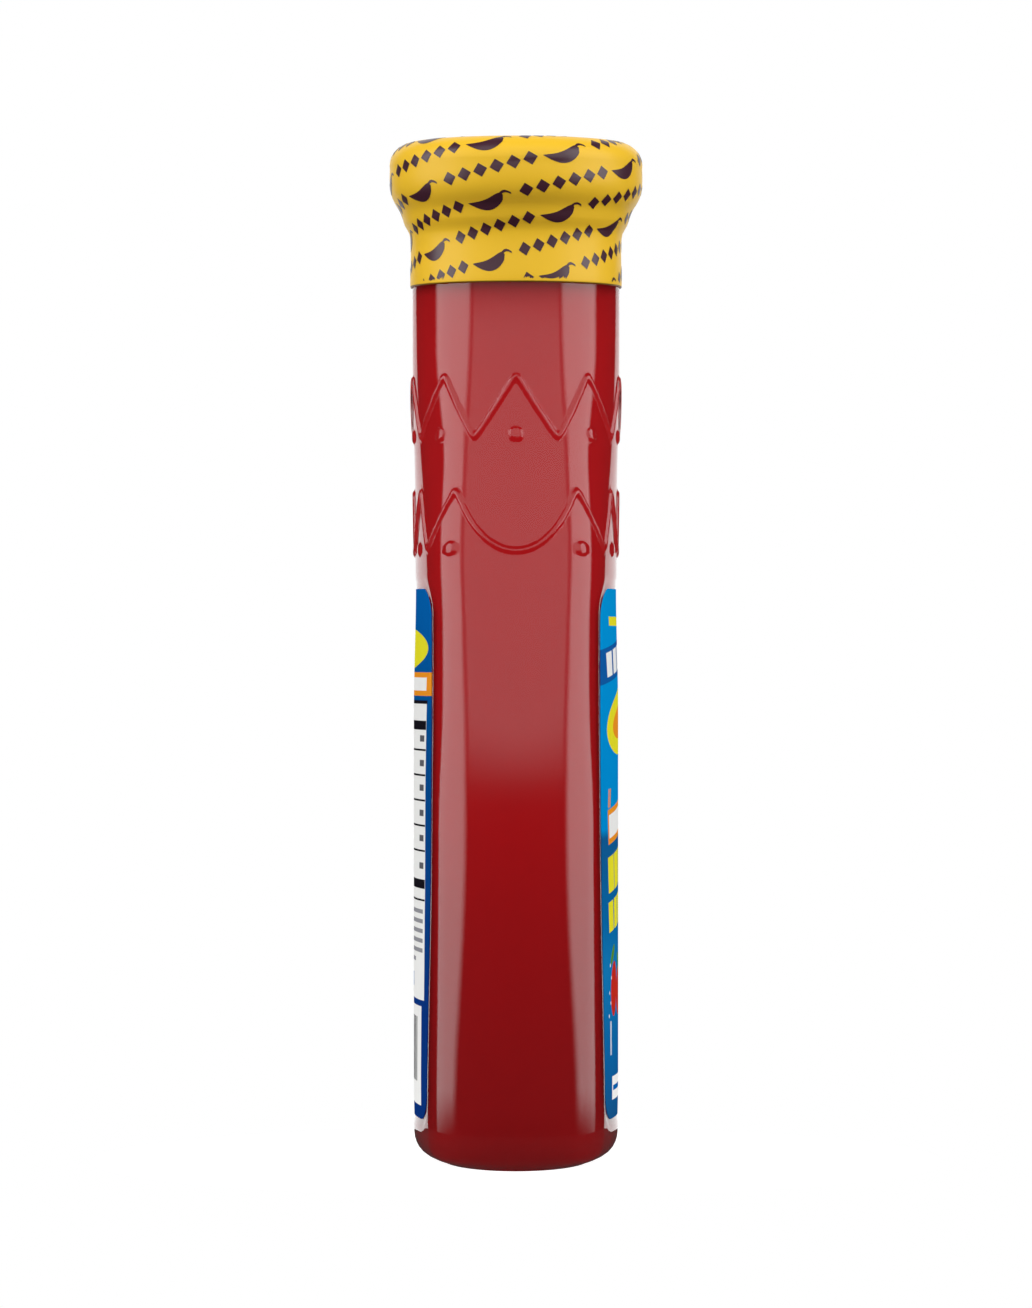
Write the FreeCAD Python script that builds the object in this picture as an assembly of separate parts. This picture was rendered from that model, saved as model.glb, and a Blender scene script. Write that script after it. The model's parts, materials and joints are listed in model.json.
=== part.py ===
import FreeCAD, Part
import math
import os

# An 8 oz glass bottle of taco sauce with a twist cap under a shrink band.
#
# Millimetres, +Z up, origin in the middle of the foot. The front label faces -Y,
# the narrow sides face -X and +X, and the bottle is the same on both sides of y = 0.
#
# The glass is oval and flat-sided at the body and round at the neck. Every level
# section is one closed chain of eight tangent arcs: a side arc at each narrow end, a
# panel arc at the front and back, and a corner arc between each pair.

Vector = FreeCAD.Vector
UP = Vector(0, 0, 1)

# ---- Body of the bottle
body_width = 64.0           # along X, at the widest level
body_depth = 36.4           # along Y
foot_taper = 0.5            # narrowing of each side towards the foot
heel_radius = 4.6           # rounding between the wall and the foot
corner_radius = 3.0         # rounding between a narrow side and a label panel
side_turn = 50.0            # degrees from +X that the side arc spans at the body
side_turn_shoulder = 43.0   # the same at the shoulder
panel_turn_foot = 13.0      # degrees from +Y that the panel arc spans at the foot
panel_turn = 16.5           # the same at the widest level
panel_turn_shoulder = 15.0  # the same at the shoulder
waist_dip = 0.37            # how much less than the body's half depth the waist has
glass_wall = 2.1
base_thickness = 4.6        # from the standing plane to the cavity's floor
cavity_heel = 5.0           # rounding at the cavity's floor
section_spacing = 8.0       # between the level sections that the glass is drawn through
heel_steps = 6              # sections through the rounding at the foot
outline_steps = 8           # spans along a label panel's side
band_steps = 14             # straight spans along the side of the film
push_up_height = 2.2        # the hollow under the foot
push_up_margin = 9.0        # from the body's side to the edge of that hollow

# ---- Label panels and labels
panel_bottom = 7.0
panel_height = 95.8
panel_recess = 0.2
panel_corner = 6.0
label_thickness = 0.09
label_margin = 0.9          # from the panel's edge to the label's, at the sides
label_margin_low = 1.4
label_margin_high = 1.8
label_corner = 5.0

# ---- Shoulder and neck
flare_below_panel_top = 38.3   # where the sides start to lean in
flare_length = 90.0            # from there up to the round neck
round_below_flare_end = 2.0    # where the section has become a full circle
waist_from = 24.0              # below the panel's top, where the half depth starts to dip
waist_to = 1.0                 # below the panel's top, where the dip is whole
waist_out_from = 9.0           # above the panel's top, where the dip starts to fade
waist_out_to = 39.0            # above the panel's top, where the neck's depth is reached
turn_from = 30.0               # below the panel's top, where the arcs start to shorten
turn_to = 10.0                 # above the panel's top, where they are as at the shoulder
neck_radius = 18.33
neck_above_relief = 26.5

# ---- Raised zigzag lines and dots
relief_above_panel = 4.7
zigzag_height = 10.5
zigzag_spacing = 9.5
ridge_width = 1.3
ridge_height = 0.38
dot_width = 2.9
dot_height = 0.36
dot_above_valley = 0.4
lower_peaks = [27.0, 57.0, 90.0]   # degrees from +X, mirrored into all four quarters
upper_peak_count = 9               # evenly round the neck, the first one facing -X

# ---- Mouth
bead_height = 2.6
bead_overhang = 1.25        # how far the bead stands out from the neck
bead_slant = 0.6            # share of the overhang that the bead's slanting underside takes
finish_gap = 2.2            # from the bead up to the cap's curl
finish_overhang = 0.9       # how far the mouth's wall stands out from the neck
mouth_bore_radius = 16.2
rim_rounding = 0.8

# ---- Twist cap
cap_skirt_height = 10.4     # from the curl's underside to the top of the cap
cap_radius = 22.15
cap_sheet = 0.4
cap_shoulder_radius = 3.8
cap_curl_radius = 0.6
cap_curl_inset = 0.7        # how far the curl sits in from the widest part
cap_belly = 0.1             # how far the skirt's middle sits in from the widest part
cap_panel_radius = 14.0
cap_panel_drop = 0.35
cap_panel_slope = 0.8       # how wide the slope round the sunken panel is
cap_button_radius = 8.5
cap_button_rise = 0.25
cap_button_slope = 1.0      # how wide the slope round the button is
cap_panel_lap = 0.2         # how far the panel's sheet runs in under the rim's

# ---- Shrink band
film = 0.25
film_clearance = 0.05
band_height = 25.6
band_top_overlap = 3.4      # how far it reaches in over the flat top of the cap
band_hem_flare = 0.1
band_straight = 2.0         # below the bead, where the film starts to widen
band_ramp = 0.6             # below the bead, where it has widened by band_ramp_share
band_ramp_share = 0.2       # of the bead's overhang
band_hollow_share = 0.4     # width halfway up to the curl, from the bead's 0 to the curl's 1

# ---- Filling
fill_below_cap = 19.0       # from the underside of the cap down to the sauce

# ---- Levels that follow from the sizes above
panel_top = panel_bottom + panel_height
flare_start = panel_top - flare_below_panel_top
flare_end = flare_start + flare_length
lower_valley = panel_top + relief_above_panel
lower_peak = lower_valley + zigzag_height
upper_valley = lower_peak + zigzag_spacing
upper_peak = upper_valley + zigzag_height
bead_bottom = upper_peak + neck_above_relief
bead_top = bead_bottom + bead_height
curl_bottom = bead_top + finish_gap
cap_top = curl_bottom + cap_skirt_height
mouth_top = cap_top - cap_sheet
band_bottom = cap_top + film + film_clearance - band_height
fill_level = mouth_top - fill_below_cap


def blend(level, start, end):
    """0 up to start, 1 from end on, and a smooth S between them."""
    share = min(max((level - start) / (end - start), 0.0), 1.0)
    return (1.0 - math.cos(math.pi * share)) / 2.0


def mix(low, high, share):
    return low + (high - low) * share


def half_width(level):
    tapered = body_width / 2.0 - foot_taper * (1.0 - blend(level, 0.0, flare_start))
    return mix(tapered, neck_radius, blend(level, flare_start, flare_end))


def half_depth(level):
    body = body_depth / 2.0
    waist = body - waist_dip
    dipped = mix(body, waist, blend(level, panel_top - waist_from, panel_top - waist_to))
    rounded = blend(level, panel_top + waist_out_from, panel_top + waist_out_to)
    return mix(dipped, neck_radius, rounded)


def section_arcs(level, offset=0.0, inset=0.0):
    """The arcs in the +X +Y quarter, as (centre x, centre y, radius, end angle)."""
    shoulder = blend(level, panel_top - turn_from, panel_top + turn_to)
    side_end = math.radians(mix(side_turn, side_turn_shoulder, shoulder))
    low_turn = mix(panel_turn_foot, panel_turn, blend(level, 0.0, flare_start))
    panel_span = math.radians(mix(low_turn, panel_turn_shoulder, shoulder))
    depth = half_depth(level)
    rounding = mix(corner_radius, depth, blend(level, panel_top, flare_end - round_below_flare_end))
    across = half_width(level) - inset - rounding
    along = depth - inset - rounding
    # The side and panel arcs are larger than the corner arc by side_extra and
    # panel_extra, which make the three meet in line at the half width and half depth.
    a, b = 1.0 - math.cos(side_end), math.sin(panel_span)
    c, d = math.sin(side_end), 1.0 - math.cos(panel_span)
    side_extra = (across * d - along * b) / (a * d - b * c)
    panel_extra = (a * along - c * across) / (a * d - b * c)
    side_x = across - side_extra
    panel_y = along - panel_extra
    corner_x = side_x + side_extra * math.cos(side_end)
    corner_y = side_extra * math.sin(side_end)
    return [
        (side_x, 0.0, rounding + side_extra + offset, side_end),
        (corner_x, corner_y, rounding + offset, math.pi / 2.0 - panel_span),
        (0.0, panel_y, rounding + panel_extra + offset, math.pi / 2.0),
    ]


def arc_point(arc, angle, level):
    return Vector(arc[0] + arc[2] * math.cos(angle), arc[1] + arc[2] * math.sin(angle), level)


def section_wire(level, offset=0.0, inset=0.0):
    """One closed level section, counterclockwise from the side arc at +X."""
    side, corner, panel = section_arcs(level, offset, inset)
    span = side[3]
    quarter = [arc_point(side, span, level)]
    quarter.append(arc_point(corner, (span + corner[3]) / 2.0, level))
    quarter.append(arc_point(corner, corner[3], level))
    quarter.append(arc_point(panel, math.pi / 2.0, level))
    flip_x = [Vector(-p.x, p.y, level) for p in reversed(quarter[:-1])]
    upper_half = quarter + flip_x
    nose = arc_point(side, 0.0, level)
    lower_half = [Vector(-p.x, -p.y, level) for p in upper_half]
    chain = upper_half + [Vector(-nose.x, 0, level)] + lower_half + [nose]
    chain.append(chain[0])
    edges = [Part.Arc(*chain[i:i + 3]).toShape() for i in range(0, len(chain) - 2, 2)]
    return Part.Wire(edges)


def loft_body(bottom, heel, offset=0.0):
    """The body from a rounded bottom up to the round neck, its surface moved out by offset."""
    sections = []
    for step in range(heel_steps):
        turn = math.pi / 2.0 * step / heel_steps
        rise = heel * (1.0 - math.cos(turn))
        sections.append(section_wire(bottom + rise, offset, heel * (1.0 - math.sin(turn))))
    count = math.ceil((flare_end - bottom - heel) / section_spacing)
    for step in range(count + 1):
        sections.append(section_wire(mix(bottom + heel, flare_end, step / count), offset))
    return Part.makeLoft(sections, True)


def surface_point(level, angle, offset=0.0):
    """The point of the glass surface in the direction angle round the axis."""
    cosine, sine = abs(math.cos(angle)), abs(math.sin(angle))
    folded = math.atan2(sine, cosine)
    for arc in section_arcs(level, offset):
        end = arc_point(arc, arc[3], level)
        if folded <= math.atan2(end.y, end.x) + 1e-9:
            break
    along = arc[0] * cosine + arc[1] * sine
    beside = arc[0] * sine - arc[1] * cosine
    reach = along + math.sqrt(arc[2] ** 2 - beside ** 2)
    return Vector(reach * math.cos(angle), reach * math.sin(angle), level)


def surface_normal(level, angle):
    step = 0.002
    around = surface_point(level, angle + step) - surface_point(level, angle - step)
    upward = surface_point(level + 0.1, angle) - surface_point(level - 0.1, angle)
    return around.cross(upward).normalize()


def revolve(points):
    """A closed outline of (radius, height) points turned about the Z axis."""
    outline = [Vector(r, 0, z) for r, z in points]
    outline.append(outline[0])
    return Part.Face(Part.makePolygon(outline)).revolve(Vector(0, 0, 0), UP, 360)


def ridge_stroke(start, end, radius):
    """A round bar sunk into the glass along one straight stroke, with a ball at its start.

    start and end are (degrees round the axis, level). The bar bends in one arc with the glass.
    """
    points = []
    for share in (0.0, 0.5, 1.0):
        angle = math.radians(mix(start[0], end[0], share))
        level = mix(start[1], end[1], share)
        sunk = surface_normal(level, angle) * (ridge_height - radius)
        points.append(surface_point(level, angle) + sunk)
    arc = Part.Arc(*points)
    heading = arc.tangent(arc.FirstParameter)[0]
    ring = Part.Wire(Part.Circle(points[0], heading, radius).toShape())
    bar = Part.Wire(arc.toShape()).makePipeShell([ring], True, True)
    return [bar, Part.makeSphere(radius, points[0])]


def zigzag_ridge(peaks, valley_level):
    """The strokes of one zigzag line, all the way round through its peaks."""
    radius = ((ridge_width / 2.0) ** 2 + ridge_height ** 2) / (2.0 * ridge_height)
    strokes = []
    for start, end in zip(peaks, peaks[1:] + [peaks[0] + 360.0]):
        valley = ((start + end) / 2.0, valley_level)
        strokes += ridge_stroke((start, valley_level + zigzag_height), valley, radius)
        strokes += ridge_stroke(valley, (end, valley_level + zigzag_height), radius)
    return strokes


def dot(angle, level):
    """A low round dome under one peak."""
    radius = ((dot_width / 2.0) ** 2 + dot_height ** 2) / (2.0 * dot_height)
    angle = math.radians(angle)
    centre = surface_point(level, angle) + surface_normal(level, angle) * (dot_height - radius)
    return Part.makeSphere(radius, centre)


def lower_peak_angles():
    """The lower peaks in degrees round the axis, mirrored into all four quarters."""
    half = lower_peaks + [180.0 - p for p in reversed(lower_peaks) if p < 90.0]
    return half + [p + 180.0 for p in half]


def upper_peak_angles():
    """The upper peaks, evenly spaced from the one at -X."""
    spacing = 360.0 / upper_peak_count
    return sorted((180.0 + spacing * i) % 360.0 for i in range(upper_peak_count))


def relief():
    """Both zigzag lines and the dot under each of their peaks."""
    raised = []
    for peaks, valley in ((lower_peak_angles(), lower_valley), (upper_peak_angles(), upper_valley)):
        raised += zigzag_ridge(peaks, valley)
        raised += [dot(angle, valley + dot_above_valley) for angle in peaks]
    return raised


def neck_and_mouth():
    """The solid round top: plain neck, transfer bead and the mouth's wall."""
    bead_radius = neck_radius + bead_overhang
    wall_radius = neck_radius + finish_overhang
    middle = (bead_bottom + bead_top) / 2.0
    underside = Vector(neck_radius + bead_slant * bead_overhang, 0, (bead_bottom + middle) / 2.0)
    outline = Part.Wire([
        Part.LineSegment(Vector(0, 0, flare_end), Vector(neck_radius, 0, flare_end)).toShape(),
        Part.LineSegment(Vector(neck_radius, 0, flare_end), Vector(neck_radius, 0, bead_bottom)).toShape(),
        Part.LineSegment(Vector(neck_radius, 0, bead_bottom), underside).toShape(),
        Part.Arc(underside, Vector(bead_radius, 0, middle), Vector(wall_radius, 0, bead_top)).toShape(),
        Part.LineSegment(Vector(wall_radius, 0, bead_top), Vector(wall_radius, 0, mouth_top)).toShape(),
        Part.LineSegment(Vector(wall_radius, 0, mouth_top), Vector(0, 0, mouth_top)).toShape(),
        Part.LineSegment(Vector(0, 0, mouth_top), Vector(0, 0, flare_end)).toShape(),
    ])
    top = Part.Face(outline).revolve(Vector(0, 0, 0), UP, 360)
    rim = [e for e in top.Edges if e.BoundBox.ZMin > mouth_top - 0.01 and e.Length > wall_radius]
    return top.makeFillet(rim_rounding, rim)


def cavity():
    """The space inside the glass, open at the mouth."""
    inside = loft_body(base_thickness, cavity_heel, -glass_wall)
    neck_bore = Part.makeCylinder(neck_radius - glass_wall, bead_bottom - flare_end, Vector(0, 0, flare_end))
    mouth = Part.makeCylinder(mouth_bore_radius, mouth_top - bead_bottom, Vector(0, 0, bead_bottom))
    return inside.fuse([neck_bore, mouth])


def push_up():
    """The shallow oval hollow under the foot, one cap of a squashed ball."""
    squash = FreeCAD.Matrix()
    reach = heel_radius + push_up_margin
    squash.scale(body_width / 2.0 - reach, body_depth / 2.0 - push_up_margin, push_up_height)
    return Part.makeSphere(1.0).transformGeometry(squash)


def panel_outline(margin_side, margin_low, margin_high, rounding):
    """A block through the front half of the bottle with the outline of a label panel.

    Its sides follow the line where the panel arc meets the corner arc.
    """
    low, high = panel_bottom + margin_low, panel_top - margin_high
    right = []
    for step in range(outline_steps + 1):
        level = mix(low, high, step / outline_steps)
        panel = section_arcs(level)[2]
        corner = section_arcs(level)[1]
        edge = panel[2] * math.cos(corner[3])
        right.append(Vector(edge - margin_side, 0, level))
    left = [Vector(-p.x, 0, p.z) for p in reversed(right)]
    sides = []
    for points in (right, left):
        curve = Part.BSplineCurve()
        curve.interpolate(points)
        sides.append(curve.toShape())
    top = Part.LineSegment(right[-1], left[0]).toShape()
    bottom = Part.LineSegment(left[-1], right[0]).toShape()
    block = Part.Face(Part.Wire([sides[0], top, sides[1], bottom])).extrude(Vector(0, -body_depth, 0))
    upright = [e for e in block.Edges if e.BoundBox.YLength > body_depth - 0.01]
    return block.makeFillet(rounding, upright)


def both_faces(front):
    """The front shape and the same shape turned to the back."""
    back = front.copy()
    back.rotate(Vector(0, 0, 0), UP, 180)
    return [front, back]


def cap_profile(inward):
    """The cap's outer side from the flat top down to the curl, moved inward."""
    top = cap_top - inward
    radius = cap_radius - inward
    turn = cap_shoulder_radius - inward
    slant = turn * (1.0 - math.sqrt(0.5))
    curl_level = curl_bottom + cap_curl_radius
    belly_level = (top - turn + curl_level) / 2.0
    return [
        Part.LineSegment(Vector(cap_panel_radius, 0, top), Vector(radius - turn, 0, top)).toShape(),
        Part.Arc(Vector(radius - turn, 0, top), Vector(radius - slant, 0, top - slant),
                 Vector(radius, 0, top - turn)).toShape(),
        Part.Arc(Vector(radius, 0, top - turn), Vector(radius - cap_belly, 0, belly_level),
                 Vector(radius - cap_curl_inset, 0, curl_level)).toShape(),
    ]


def cap():
    """Sheet-metal twist cap: sunken panel with a raised button, skirt and rolled curl."""
    outer, inner = cap_profile(0.0), cap_profile(cap_sheet)
    outer_end = outer[-1].Vertexes[-1].Point
    inner_end = inner[-1].Vertexes[-1].Point
    outer_start = Vector(cap_panel_radius, 0, cap_top)
    inner_start = Vector(cap_panel_radius, 0, cap_top - cap_sheet)
    closing = [Part.LineSegment(outer_end, inner_end).toShape(),
               Part.LineSegment(inner_start, outer_start).toShape()]
    skirt = Part.Face(Part.Wire(Part.__sortEdges__(outer + inner + closing)))
    shell = skirt.revolve(Vector(0, 0, 0), UP, 360)
    sunk = cap_top - cap_panel_drop
    raised = sunk + cap_button_rise
    button_foot = cap_button_radius + cap_button_slope
    slope_foot = cap_panel_radius - cap_panel_slope
    panel = revolve([
        (0, raised), (cap_button_radius, raised),
        (button_foot, sunk), (slope_foot, sunk), (cap_panel_radius, cap_top),
        (cap_panel_radius + cap_panel_lap, cap_top - cap_sheet), (slope_foot, sunk - cap_sheet),
        (button_foot, sunk - cap_sheet), (cap_button_radius, raised - cap_sheet),
        (0, raised - cap_sheet)])
    curl_centre = (outer_end + inner_end) * 0.5
    curl = Part.makeTorus(curl_centre.x - cap_curl_radius + cap_sheet / 2.0, cap_curl_radius,
                          Vector(0, 0, curl_centre.z))
    return shell.fuse([panel, curl])


def bottle():
    """The hollow glass with its relief, label panels, push-up foot and mouth."""
    glass = loft_body(0.0, heel_radius).fuse(relief())
    block = panel_outline(0.0, 0.0, 0.0, panel_corner)
    recess = block.cut(loft_body(0.0, heel_radius, -panel_recess))
    glass = glass.cut(both_faces(recess))
    glass = glass.fuse(neck_and_mouth())
    return glass.cut([cavity(), push_up()])


def sauce():
    inside = cavity()
    above = Part.makeBox(body_width * 2, body_width * 2, cap_top,
                         Vector(-body_width, -body_width, fill_level))
    return inside.cut(above)


def label():
    """The paper-thin front label, lying in its panel."""
    block = panel_outline(label_margin, label_margin_low, label_margin_high, label_corner)
    skin = block.common(loft_body(0.0, heel_radius, label_thickness - panel_recess))
    return skin.cut(loft_body(0.0, heel_radius, -panel_recess))


def band_line(inward):
    """The film's side from hem to cap top as edges, moved inward from its outside."""
    reach = film_clearance + film
    neck = neck_radius + reach
    bead = neck + bead_overhang
    curl = cap_radius - cap_curl_inset + reach
    belly = cap_radius - cap_belly + reach
    curl_level = curl_bottom + cap_curl_radius / 2.0
    shoulder_level = cap_top - cap_shoulder_radius
    stretched = Part.BSplineCurve()
    stretched.interpolate(
        Points=[
            Vector(neck, 0, bead_bottom - band_straight),
            Vector(neck + band_ramp_share * bead_overhang, 0, bead_bottom - band_ramp),
            Vector(bead, 0, (bead_bottom + bead_top) / 2.0),
            Vector(mix(bead, curl, band_hollow_share), 0, (bead_top + curl_bottom) / 2.0),
            Vector(curl, 0, curl_level),
            Vector(belly, 0, (curl_level + shoulder_level) / 2.0),
            Vector(cap_radius + reach, 0, shoulder_level)],
        InitialTangent=UP, FinalTangent=UP)
    moved = []
    for step in range(band_steps + 1):
        place = mix(stretched.FirstParameter, stretched.LastParameter, step / band_steps)
        out = stretched.tangent(place)[0].cross(Vector(0, -1, 0))
        moved.append(stretched.value(place) - out * inward)
    side = [Part.LineSegment(a, b).toShape() for a, b in zip(moved, moved[1:])]
    hem = Vector(neck + band_hem_flare - inward, 0, band_bottom)
    straight = Vector(neck - inward, 0, band_bottom + band_straight)
    turn = cap_shoulder_radius + reach - inward
    centre = Vector(cap_radius - cap_shoulder_radius, 0, shoulder_level)
    middle = centre + Vector(turn * math.sqrt(0.5), 0, turn * math.sqrt(0.5))
    flat = centre + Vector(0, 0, turn)
    end = flat - Vector(band_top_overlap, 0, 0)
    edges = [
        Part.LineSegment(hem, straight).toShape(),
        Part.LineSegment(straight, moved[0]).toShape(),
        Part.Arc(moved[-1], middle, flat).toShape(),
        Part.LineSegment(flat, end).toShape(),
    ]
    return hem, end, edges + side


def band():
    """Shrink film over the cap, the bead and the top of the neck."""
    hem_out, end_out, outside = band_line(0.0)
    hem_in, end_in, inside = band_line(film)
    closing = [Part.LineSegment(hem_out, hem_in).toShape(), Part.LineSegment(end_out, end_in).toShape()]
    outline = Part.Wire(Part.__sortEdges__(outside + inside + closing))
    return Part.Face(outline).revolve(Vector(0, 0, 0), UP, 360)


nodes = {
    "bottle": bottle(),
    "sauce": sauce(),
    "cap": cap(),
    "band": band(),
}
front, back = both_faces(label())
nodes["label_front"] = front
nodes["label_back"] = back

os.makedirs("parts", exist_ok=True)
for name, shape in nodes.items():
    solids = shape.Solids
    print(name, shape.isValid(), len(solids), round(shape.Volume, 1), len(shape.Faces))
    shape.exportStep("parts/" + name + ".step")
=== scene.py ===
# %% [markdown]
# # A glass bottle of taco sauce
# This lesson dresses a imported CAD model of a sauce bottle: clear glass with raised zigzag lines,
# red sauce, two paper labels and a printed shrink film over a twist cap. The CAD parts come in
# as a fixed frame, and every visible piece but the cap is rebuilt in the same place with finer
# shape and finish. The box of the CAD model is kept, because the pieces must stay inside it.

# %% Load the fixed frame
import bmesh
import bpy
import json
import math
import numpy as np
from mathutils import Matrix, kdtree

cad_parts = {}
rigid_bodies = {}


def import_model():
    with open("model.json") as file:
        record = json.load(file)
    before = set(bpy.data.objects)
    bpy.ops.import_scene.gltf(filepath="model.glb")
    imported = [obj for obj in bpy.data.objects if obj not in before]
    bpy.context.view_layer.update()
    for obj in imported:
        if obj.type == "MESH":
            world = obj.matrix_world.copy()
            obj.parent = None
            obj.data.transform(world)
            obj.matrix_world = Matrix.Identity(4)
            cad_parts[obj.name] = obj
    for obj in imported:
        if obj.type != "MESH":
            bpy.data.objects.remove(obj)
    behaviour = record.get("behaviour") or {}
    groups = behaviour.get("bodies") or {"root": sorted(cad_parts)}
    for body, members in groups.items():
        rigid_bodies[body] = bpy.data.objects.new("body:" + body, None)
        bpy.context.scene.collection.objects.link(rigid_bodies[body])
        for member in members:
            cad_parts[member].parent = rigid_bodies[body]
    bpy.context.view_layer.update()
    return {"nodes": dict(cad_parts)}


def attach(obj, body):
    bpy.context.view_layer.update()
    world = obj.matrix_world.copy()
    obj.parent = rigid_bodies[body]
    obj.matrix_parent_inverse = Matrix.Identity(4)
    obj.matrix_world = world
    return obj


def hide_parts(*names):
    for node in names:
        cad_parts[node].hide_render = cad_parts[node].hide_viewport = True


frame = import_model()

# %% [markdown]
# ## The camera
# The bottle is seen level, from its narrow side, a little over a metre away. A long lens keeps
# the perspective flat. The lens follows from the height that the view covers at the bottle's axis.

# %% Camera on the narrow side
MM = 0.001
camera_distance = 1.133
eye_level = 0.08955
view_height = 0.2318
sensor = 36.0

camera_data = bpy.data.cameras.new("camera")
camera_data.sensor_fit = "VERTICAL"
camera_data.sensor_height = sensor
camera_data.lens = sensor * camera_distance / view_height
camera = bpy.data.objects.new("camera", camera_data)
camera.location = (-camera_distance, 0.0, eye_level)
camera.rotation_euler = (math.radians(90), 0.0, math.radians(-90))
bpy.context.scene.collection.objects.link(camera)
bpy.context.scene.camera = camera
print("lens", round(camera_data.lens, 1), "mm")

# %% [markdown]
# ## Helpers for node trees
# The light, the finishes and the repeated print are node trees built in code. A formula drawn as
# Math nodes is hard to read, so a small class stands for a number that runs through a tree, and
# plain arithmetic on it adds the nodes. The other helpers add a node, join two sockets and make
# a group with named sockets.

# %% Numbers that run through a tree
class Flow:
    """A socket or number in a node tree; arithmetic on it adds Math nodes."""

    def __init__(self, tree, source):
        self.tree, self.source = tree, source

    def math(self, operation, *others):
        inputs = dict(enumerate((self, *others)))
        return Flow(self.tree, add(self.tree, "ShaderNodeMath", inputs, operation=operation).outputs[0])

    def __add__(self, other):
        return self.math("ADD", other)

    def __sub__(self, other):
        return self.math("SUBTRACT", other)

    def __rsub__(self, other):
        return Flow(self.tree, other).math("SUBTRACT", self)

    def __mul__(self, other):
        return self.math("MULTIPLY", other)

    def __truediv__(self, other):
        return self.math("DIVIDE", other)

    def __pow__(self, other):
        return self.math("POWER", other)

    __radd__ = __add__


def feed(tree, socket, source):
    """Join a socket to a source, or give it a plain value."""
    if isinstance(source, Flow):
        source = source.source
    if hasattr(source, "is_output"):
        tree.links.new(source, socket)
    else:
        socket.default_value = source


def add(tree, kind, inputs=None, **settings):
    """A new node with its settings, and its inputs joined or set by name or number."""
    node = tree.nodes.new(kind)
    for name, value in settings.items():
        setattr(node, name, value)
    for name, value in (inputs or {}).items():
        feed(tree, node.inputs[name], value)
    return node


def split(tree, vector):
    """The three numbers of a vector."""
    return [Flow(tree, output) for output in add(tree, "ShaderNodeSeparateXYZ", {0: vector}).outputs]


def ramp(value, start, end):
    """0 up to start, 1 from end on, and a smooth S between them."""
    node = add(value.tree, "ShaderNodeMapRange", {"Value": value, "From Min": start, "From Max": end},
               interpolation_type="SMOOTHSTEP")
    return Flow(value.tree, node.outputs["Result"])


print("node helpers ready")

# %% Groups and materials
def new_group(name, inputs, outputs, kind="ShaderNodeTree"):
    """A node group, its inputs and its output node; sockets are (title, kind, default)."""
    group = bpy.data.node_groups.new(name, kind)
    for side, sockets in (("INPUT", inputs), ("OUTPUT", outputs)):
        for title, what, *default in sockets:
            socket = group.interface.new_socket(title, in_out=side, socket_type="NodeSocket" + what)
            if default:
                socket.default_value = default[0]
    source = group.nodes.new("NodeGroupInput")
    got = {title: Flow(group, source.outputs[title]) for title, *_ in inputs}
    return group, got, group.nodes.new("NodeGroupOutput")


def new_material(name):
    material = bpy.data.materials.new(name)
    material.use_nodes = True
    material.node_tree.nodes.clear()
    return material, material.node_tree, material.node_tree.nodes.new("ShaderNodeOutputMaterial")


def object_place(tree):
    return tree.nodes.new("ShaderNodeTexCoord").outputs["Object"]


def noise(tree, scale, detail):
    """Cloudy unevenness all through a piece, a number round a half."""
    inputs = {"Vector": object_place(tree), "Scale": scale, "Detail": detail}
    return Flow(tree, add(tree, "ShaderNodeTexNoise", inputs, noise_dimensions="3D").outputs["Fac"])


def bump(tree, height, strength, distance):
    inputs = {"Height": height, "Strength": strength, "Distance": distance}
    return add(tree, "ShaderNodeBump", inputs).outputs["Normal"]


def mix_colours(tree, share, first, second, blend_type="MIX"):
    inputs = {"Factor": share, 6: first, 7: second}
    return add(tree, "ShaderNodeMix", inputs, data_type="RGBA", blend_type=blend_type).outputs[2]


def mix_shaders(tree, share, first, second):
    return add(tree, "ShaderNodeMixShader", {0: share, 1: first, 2: second}).outputs[0]


def ray(tree, kind):
    """1 for rays of one kind, such as Camera or Glossy, and 0 for all others."""
    return Flow(tree, tree.nodes.new("ShaderNodeLightPath").outputs[f"Is {kind} Ray"])


def srgb(r, g, b):
    """A colour written 0 to 255 as shown on screen, in the linear values that shaders use."""
    linear = [((c / 255 + 0.055) / 1.055) ** 2.4 if c > 10 else c / 255 / 12.92 for c in (r, g, b)]
    return (*linear, 1.0)


print("material helpers ready")

# %% [markdown]
# ## Studio light
# Glass shows mostly what stands round it, so the light matters as much as the shape. A product
# studio has one large soft light in front, a tall soft box at each side and a white backdrop, with
# dark gaps between them. Lamps could do this, but a world that is bright in those directions
# gives the same even light with clean reflections. Each light is a window in azimuth, from the
# side that faces -X, and elevation, made by one node group. The camera sees plain white in
# every direction instead, and rays that come through the glass see mostly white.

# %% Node group: one soft box by direction
group, got, out = new_group(
    "soft_box",
    [("Direction", "Vector"), ("Azimuth", "Float", 0.0), ("Half Width", "Float", 0.5),
     ("Low", "Float", 0.0), ("High", "Float", 1.0), ("Soft Side", "Float", 0.05),
     ("Soft Low", "Float", 0.05), ("Soft High", "Float", 0.05)],
    [("Mask", "Float")])
x, y, z = split(group, got["Direction"])
azimuth = y.math("ABSOLUTE").math("ARCTAN2", x * -1.0)
off_centre = (azimuth - got["Azimuth"]).math("ABSOLUTE")
elevation = z.math("ARCSINE")


def past(angle, edge, soft):
    return ramp(angle, got[edge] - got[soft], got[edge] + got[soft])


mask = (1.0 - past(off_centre, "Half Width", "Soft Side")) * past(elevation, "Low", "Soft Low")
feed(group, out.inputs["Mask"], mask * (1.0 - past(elevation, "High", "Soft High")))
soft_box = group
print("soft box group:", len(group.nodes), "nodes")

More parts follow.
